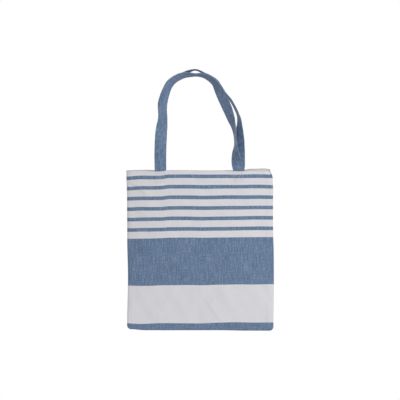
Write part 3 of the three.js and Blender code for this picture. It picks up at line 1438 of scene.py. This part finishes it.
    def make(self, strap_wide: float, strap_thick: float) -> None:
        """Makes every piece of the bag.

        Args:
            strap_wide: The handles' width.
            strap_thick: The handles' thickness.
        """
        seams: list[bpy.types.Object] = []
        for side in (*Hand, None):
            word = side.word if side else "bottom"
            node = f"{word}_side_seam" if side else "bottom_seam"
            strip = self.allowance_strip(f"{node}_allowance", side)
            thread = self.overlock(f"{word}_overlock", side, f"{word}_overlock_thread")
            seams += [strip, thread]
            LOG.info("made %s and %s", strip.name, thread.name)
        flat = (2 * (self.form.half_width + self.seam_cut), self.form.height + self.seam_cut + self.hem_cut)
        for half in Half:
            panel, hem, row = self.panel(half), self.hem(half), self.hem_row(half)
            boxes = [self.box(half, hand, strap_wide, strap_thick) for hand in Hand]
            f"{half.word}_cloth_handle"
            LOG.info("made %s with its hem and stitching", panel.name)


# ---- handles -----------------------------------------------------------------------------------


@dataclass(frozen=True)
class SmoothLine:
    """A smooth line through points: centripetal, or even where the points are evenly spaced."""

    points: Array
    even: bool = False

    def at(self, share: float) -> Array:
        """The line's place at a share of its points.

        Args:
            share: From 0 to 1.

        Returns:
            The place.
        """
        points = self.points
        last = len(points) - 1
        index = min(int(last * share), last - 1)
        step = last * share - index
        first, second = points[index], points[index + 1]
        before = points[index - 1] if index else 2 * points[0] - points[1]
        after = points[index + 2] if index + 2 <= last else 2 * points[last] - points[last - 1]
        if self.even:
            leave, arrive = (second - before) / 2, (after - first) / 2
        else:
            pairs = ((before, first), (first, second), (second, after))
            gaps = [np.linalg.norm(b - a) ** 0.5 for a, b in pairs]
            leave = (
                (first - before) / gaps[0]
                - (second - before) / (gaps[0] + gaps[1])
                + (second - first) / gaps[1]
            )
            arrive = (
                (second - first) / gaps[1]
                - (after - first) / (gaps[1] + gaps[2])
                + (after - second) / gaps[2]
            )
            leave, arrive = leave * gaps[1], arrive * gaps[1]
        square = -3 * first + 3 * second - 2 * leave - arrive
        cube = 2 * first - 2 * second + leave + arrive
        return first + leave * step + square * step**2 + cube * step**3

    def heading(self, share: float) -> Array:
        """The line's direction at a share of its points.

        Args:
            share: From 0 to 1.

        Returns:
            The direction, of length 1.
        """
        nudge = 1e-4
        line = self.at(min(1.0, share + nudge)) - self.at(max(0.0, share - nudge))
        return line / np.linalg.norm(line)


# The line that both handles follow, left foot to right foot: shares of half the handles' spacing and
# of the rise from the mouth to the hook.
ARCH = (
    (-1, 0), (-1, 0.19), (-0.99, 0.39), (-0.93, 0.53), (-0.85, 0.72), (-0.7, 0.9),
    (-0.42, 0.98), (-0.12, 1.005), (0.12, 0.99), (0.36, 0.93), (0.54, 0.81), (0.68, 0.69),
    (0.8, 0.53), (0.88, 0.42), (0.91, 0.28), (0.92, 0.155), (0.96, 0.06), (1, 0),
)


@dataclass(frozen=True)
class StrapLie:
    """How a strap lies at the arch's points.

    Attributes:
        clear: How far it passes outside the arch, as a share of its width.
        off: How far its middle is held from the bag's middle plane, as a share of its width.
        turn: Its twist in degrees: 0 faces the front and 90 stands edge-on, as over the hook.
    """

    clear: tuple[float, ...]
    off: tuple[float, ...]
    turn: tuple[float, ...]


FRONT_LIE = StrapLie(
    clear=(0, 0.02, -0.02, 0.06, 0.25, 0.18, 0.13, -0.04, 0, -0.02, -0.05, -0.06, 0.02, 0.02, 0.02, 0, 0, 0),
    off=(0, 0, 0.03, 0.07, 0.1, 0.1, 0.07, 0.06, 0.1, 0.12, 0.12, 0.08, 0.03, 0.03, 0.05, 0.05, 0, 0),
    turn=(0, 0, 12, 40, 46, 55, 63, 81, 70, 61, 41, 35, 55, 75, 78, 50, 14, 0),
)
BACK_LIE = StrapLie(
    clear=(
        0, 0, -0.04, 0.04, 0.32, 0.22, 0.21, 0.42, 0.22, 0.29, 0.35, 0.54, 0.72, 0.47, 0.36, 0.31, 0.17, 0
    ),
    off=(0, 0.03, 0.08, 0.02, 0, 0.05, 0.2, 0.15, 0.22, 0.25, 0.25, 0.15, 0.13, 0.2, 0.23, 0.18, 0.06, 0),
    turn=(0, 0, 12, 40, 46, 57, 73, 89, 88, 90, 90, 84, 78, 57, 28, 8, 0, 0),
)


@dataclass
class ClothHandle:
    """One handle: a folded, edge-stitched cotton strap, sewn inside the hem at both ends.

    Attributes:
        sewn_depth: How far each end reaches down inside the hem.
        rise: From the mouth to the hook.
        pivot_rise: From the mouth up to the line on which the handle folds.
        edge_row_inset: From an edge to its row of stitches.
        strap_rows: Rows of places along the strap.
        folded_edge: How far its edges are rounded.
        loosening: How far above a sewn end the strap takes to hang loose.
        bend_below: From the mouth down to where the bend starts.
        bend_above: From the mouth up to where it ends.
    """

    half: Half
    lie: StrapLie
    form: BagForm
    wardrobe: Wardrobe
    wide: float = 30 * MM
    thick: float = 2.4 * MM
    sewn_depth: float = 31 * MM
    rise: float = 248 * MM
    pivot_rise: float = 1 * MM
    edge_row_inset: float = 3 * MM
    samples: int = 360
    strap_rows: int = 330
    folded_edge: float = 0.95 * MM
    loosening: float = 40 * MM
    bend_below: float = 0.5 * MM
    bend_above: float = 9 * MM
    thread: Stitch = field(default_factory=Stitch)

    def __post_init__(self) -> None:
        """Works out where the strap's middle runs."""
        self.follow()

    @property
    def name(self) -> str:
        """The handle's name, which its pieces' names start with."""
        return f"{self.half.word}_cloth_handle"

    def end_face(self, drop: Array) -> Array:
        """How far the outer face of a sewn end stands off the middle plane.

        Args:
            drop: Places down.

        Returns:
            The distance at each place.
        """
        outer = np.full_like(drop, self.form.strap_middle + self.wide / 2)
        standing = self.form.inner(outer, drop) + self.form.relief(self.half, outer, drop)
        return standing - 2 * self.form.gap - self.form.hem_thick

    def follow(self) -> None:
        """Finds the strap's middle line, its width direction and its face direction, end to end."""
        form, side = self.form, self.half.value
        loop_start = form.mouth + self.pivot_rise + form.gap
        top = form.mouth + self.rise + self.thick / 2
        arch = SmoothLine(np.array([
            (across * form.strap_middle, 0.0, loop_start + up * (top - loop_start)) for across, up in ARCH
        ]))
        base = float(self.end_face(np.zeros(1))[0]) - self.thick / 2
        middle = []
        for i, (_, up) in enumerate(ARCH):
            share = i / (len(ARCH) - 1)
            heading = arch.heading(share)
            outwards = np.array([-heading[2], 0, heading[0]]) / math.hypot(heading[0], heading[2])
            place = arch.at(share) + outwards * self.lie.clear[i] * self.wide
            place[1] = side * (base * (1 - up) + self.lie.off[i] * self.wide)
            middle.append(place)
        line = SmoothLine(np.array(middle))
        twist = SmoothLine(np.radians(np.array(self.lie.turn, float))[:, None], even=True)
        places, widths, faces = [], [], []
        for share in np.linspace(0, 1, self.samples):
            heading = line.heading(share)
            if share in (0.0, 1.0):
                heading = np.array([0, 0, np.sign(heading[2])])
            outwards = np.array([-heading[2], 0, heading[0]]) / math.hypot(heading[0], heading[2])
            turn = twist.at(share)[0]
            width = outwards * math.cos(turn) + np.array([0, -math.sin(turn), 0])
            width -= heading * (heading @ width)
            width /= np.linalg.norm(width)
            places.append(line.at(share))
            widths.append(width)
            faces.append(np.cross(heading, width))
        drops = np.linspace(self.sewn_depth, 0, 16)
        end_y = side * (self.end_face(drops) - self.thick / 2)
        left = np.stack([np.full_like(drops, -form.strap_middle), end_y, form.mouth - drops], 1)
        right = (left * [-1, 1, 1])[::-1]
        plain = np.array([0.0, -1.0, 0.0])
        self.places = np.concatenate([left, places, right])
        self.widths = np.concatenate([np.tile([-1.0, 0, 0], (16, 1)), widths, np.tile([1.0, 0, 0], (16, 1))])
        self.faces = np.concatenate([np.tile(plain, (16, 1)), faces, np.tile(plain, (16, 1))])
        steps = np.linalg.norm(np.diff(self.places, axis=0), axis=1)
        self.runs = np.concatenate([[0], np.cumsum(steps)])

    @property
    def length(self) -> float:
        """The strap's length with both sewn ends."""
        return float(self.runs[-1])

    def surface(self, across: Array, along: Array, through: Array) -> Array:
        """A place on the strap.

        Args:
            across: From its middle towards its outer edge.
            along: From its left end.
            through: From its middle towards the face that looks forwards at its feet.

        Returns:
            Rows of x, y, z.
        """
        def read(rows: Array) -> Array:
            """Reads rows kept along the strap's middle at each place along."""
            return np.stack([np.interp(along, self.runs, rows[:, k]) for k in range(3)], 1)

        middle, width, face = read(self.places), read(self.widths), read(self.faces)
        width /= np.linalg.norm(width, axis=1, keepdims=True)
        face /= np.linalg.norm(face, axis=1, keepdims=True)
        seed = 40 if self.half is Half.FRONT else 50
        loose = smooth_step(along, self.sewn_depth, self.sewn_depth + self.loosening)
        loose = loose * smooth_step(self.length - along, self.sewn_depth, self.sewn_depth + self.loosening)
        edge = across / (self.wide / 2)
        wave = 0.55 * MM * edge * rippled(along, (0.029, 0.053, 0.087), seed)
        cup = 0.7 * MM * (edge**2 - 0.4) * rippled(along, (0.071, 0.123), seed + 1)
        through = through + (wave + cup) * loose
        return middle + width * across[:, None] + face * through[:, None]

    def shaped(self, across: Array, through: Array) -> Array:
        """The strap's thickness: puffed at its folded edges and drawn in along its stitching.

        Args:
            across: Places across the strap.
            through: Places through a flat strap.

        Returns:
            The places through the shaped strap.
        """
        row = self.wide / 2 - self.edge_row_inset
        drawn = 0.28 * np.exp(-(((np.abs(across) - row) / (0.9 * MM)) ** 2))
        hollow = 0.14 * np.exp(-((across / (7 * MM)) ** 4))
        return through * (1 - drawn - hollow)

    def strap(self) -> bpy.types.Object:
        """Cuts, folds and lays the strap.

        Returns:
            The strap.
        """
        half = self.wide / 2
        row = half - self.edge_row_inset
        across = np.array(
            [-half, -half + 0.8 * MM, -row - 0.9 * MM, -row, -row + 0.9 * MM, -9 * MM, -5.5 * MM]
        )
        across = np.concatenate([across, [-2 * MM], -across[::-1]])
        across = np.sort(np.concatenate([across, [2 * MM]]))
        along = np.linspace(0, self.length, self.strap_rows)
        cut = FlatCut(self.name, across, along, self.thick, self.folded_edge)
        piece = cut.make()

        def folded(wide: Array, along: Array, through: Array) -> Array:
            """A place on the strap with its puffed and stitched profile."""
            return self.surface(wide, along, self.shaped(wide, through))

        FlatCut.lay(piece, folded, lambda wide, along: along)
        Wardrobe.dress(piece, self.wardrobe.strap, "blue_cotton")
        word = self.half.word
        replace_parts(piece, f"{word}_handle", f"{word}_handle_left_end", f"{word}_handle_right_end")
        return self.bent(piece)

    def bent(self, piece: bpy.types.Object) -> bpy.types.Object:
        """Bakes the piece's placement into its mesh; the bend's ends over the mouth are worked out but not
        used.

        Args:
            piece: The piece.

        Returns:
            The piece.
        """
        start = (0, 0, self.form.mouth - self.bend_below)
        end = (0, 0, self.form.mouth + self.bend_above)
        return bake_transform(piece, Body.BAG.value, Body.handle(self.half).value, start=start, end=end)

    def edge_row(self, word: str, edge: int) -> bpy.types.Object:
        """Sews a row along one edge, seen on both faces.

        Args:
            word: The row's word in names.
            edge: 1 at the outer edge and -1 at the inner.

        Returns:
            The row.
        """
        along = self.thread.run(self.length, inset=3 * MM)
        row = edge * (self.wide / 2 - self.edge_row_inset)
        face = self.shaped(np.array([row]), np.array([self.thick / 2]))[0] + 0.1 * MM
        rows = []
        for through, slip in ((face, 0.0), (-face, self.thread.pitch / 2)):
            stitches = np.zeros((len(along) - 1, 5))
            stitches[:, 0] = row
            stitches[:, 1] = along[:-1] + slip
            stitches[:, 2] = through
            stitches[:, 4] = 1
            rows.append((self.surface, stitches))
        piece = self.thread.sew(f"{self.name}_{word}_stitches", rows)
        Wardrobe.dress(piece, self.wardrobe.blue_thread, "blue_thread")
        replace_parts(piece, f"{self.half.word}_handle_{word}_stitching")
        return self.bent(piece)

    def make(self) -> None:
        """Makes the strap with its stitching."""
        strap = self.strap()
        rows = [self.edge_row("outer", 1), self.edge_row("inner", -1)]
        LOG.info("made %s, %.0f mm long", strap.name, self.length / MM)


# ---- the studio --------------------------------------------------------------------------------


@dataclass(frozen=True)
class SoftBox:
    """A large soft lamp.

    Attributes:
        name: Its name.
        place: Where it stands.
        side: Its side.
        watts: Its power.
    """

    name: str
    place: tuple[float, float, float]
    side: float
    watts: float


@dataclass
class Studio:
    """A plain pale floor, soft light and a camera level with the bag."""

    aim: tuple[float, float, float] = (0.0008, 0.0, -0.3237)
    distance: float = 4.0
    seen: float = 1.04
    sensor: float = 36.0
    floor_height: float = -0.96
    floor_radius: float = 0.8
    glow: float = 0.44
    lamps: tuple[SoftBox, ...] = (
        SoftBox("key_lamp", (-0.3, -2.7, 0.3), 0.6, 20),
        SoftBox("side_lamp", (1.9, -1.6, 0.3), 1.2, 26),
        SoftBox("back_lamp", (-0.8, 2.4, 0.6), 1.4, 38),
    )

    def camera(self) -> None:
        """Sets the camera level with the bag's middle, far enough for a calm perspective."""
        bpy.ops.object.camera_add(
            location=(self.aim[0], self.aim[1] - self.distance, self.aim[2]), rotation=(math.pi / 2, 0, 0)
        )
        camera = bpy.context.object
        camera.name = "studio_camera"
        camera.data.sensor_width = self.sensor
        camera.data.lens = self.sensor * self.distance / self.seen
        bpy.context.scene.camera = camera

    def light(self) -> None:
        """Sets the lamps, aimed at the bag."""
        for lamp in self.lamps:
            bpy.ops.object.light_add(type="AREA", location=lamp.place)
            light = bpy.context.object
            light.name = lamp.name
            light.data.shape = "SQUARE"
            light.data.size = lamp.side
            light.data.energy = lamp.watts
            away = Vector(lamp.place) - Vector(self.aim)
            light.rotation_euler = away.to_track_quat("Z", "Y").to_euler()

    def surround(self) -> None:
        """Makes a white surround that gives soft, even light."""
        world = bpy.data.worlds.new("white_surround")
        world.use_nodes = True
        tree = world.node_tree
        tree.nodes.clear()
        path = tree.nodes.new("ShaderNodeLightPath")
        seen, lit = (tree.nodes.new("ShaderNodeBackground") for _ in range(2))
        seen.inputs["Strength"].default_value = 1.0
        lit.inputs["Strength"].default_value = self.glow
        for shade in (seen, lit):
            shade.inputs["Color"].default_value = (1, 1, 1, 1)
        mix = tree.nodes.new("ShaderNodeMixShader")
        out = tree.nodes.new("ShaderNodeOutputWorld")
        tree.links.new(path.outputs["Is Camera Ray"], mix.inputs[0])
        tree.links.new(lit.outputs[0], mix.inputs[1])
        tree.links.new(seen.outputs[0], mix.inputs[2])
        tree.links.new(mix.outputs[0], out.inputs["Surface"])
        bpy.context.scene.world = world

    def floor(self) -> None:
        """Makes the floor, a broad low disc with a rounded rim."""
        bpy.ops.object.select_all(action="DESELECT")
        bpy.ops.mesh.primitive_cylinder_add(
            vertices=96, radius=self.floor_radius, depth=0.02, location=(0, 0, self.floor_height - 0.01)
        )
        disc = Bench.named("pale_floor")
        bpy.ops.object.transform_apply(location=True, rotation=False, scale=False)
        Bench.finish_with(disc, "BEVEL", width=0.006, segments=3, limit_method="ANGLE")
        disc.data.materials.append(PaintedFloor().make())

    def make(self) -> None:
        """Sets up the whole studio."""
        self.camera()
        self.light()
        self.surround()
        self.floor()
        bpy.context.scene.view_settings.view_transform = "Standard"
        LOG.info("set up the studio")


def main() -> None:
    """Makes the tote bag, piece by piece."""
    logging.basicConfig(level=logging.INFO, format="%(name)s: %(message)s")
    Studio().make()
    form = BagForm.from_frame()
    wardrobe = Wardrobe()
    handles = [
        ClothHandle(Half.FRONT, FRONT_LIE, form, wardrobe),
        ClothHandle(Half.BACK, BACK_LIE, form, wardrobe),
    ]
    BagBody(form, wardrobe).make(handles[0].wide, handles[0].thick)
    for handle in handles:
        handle.make()


if __name__ == "__main__":
    main()
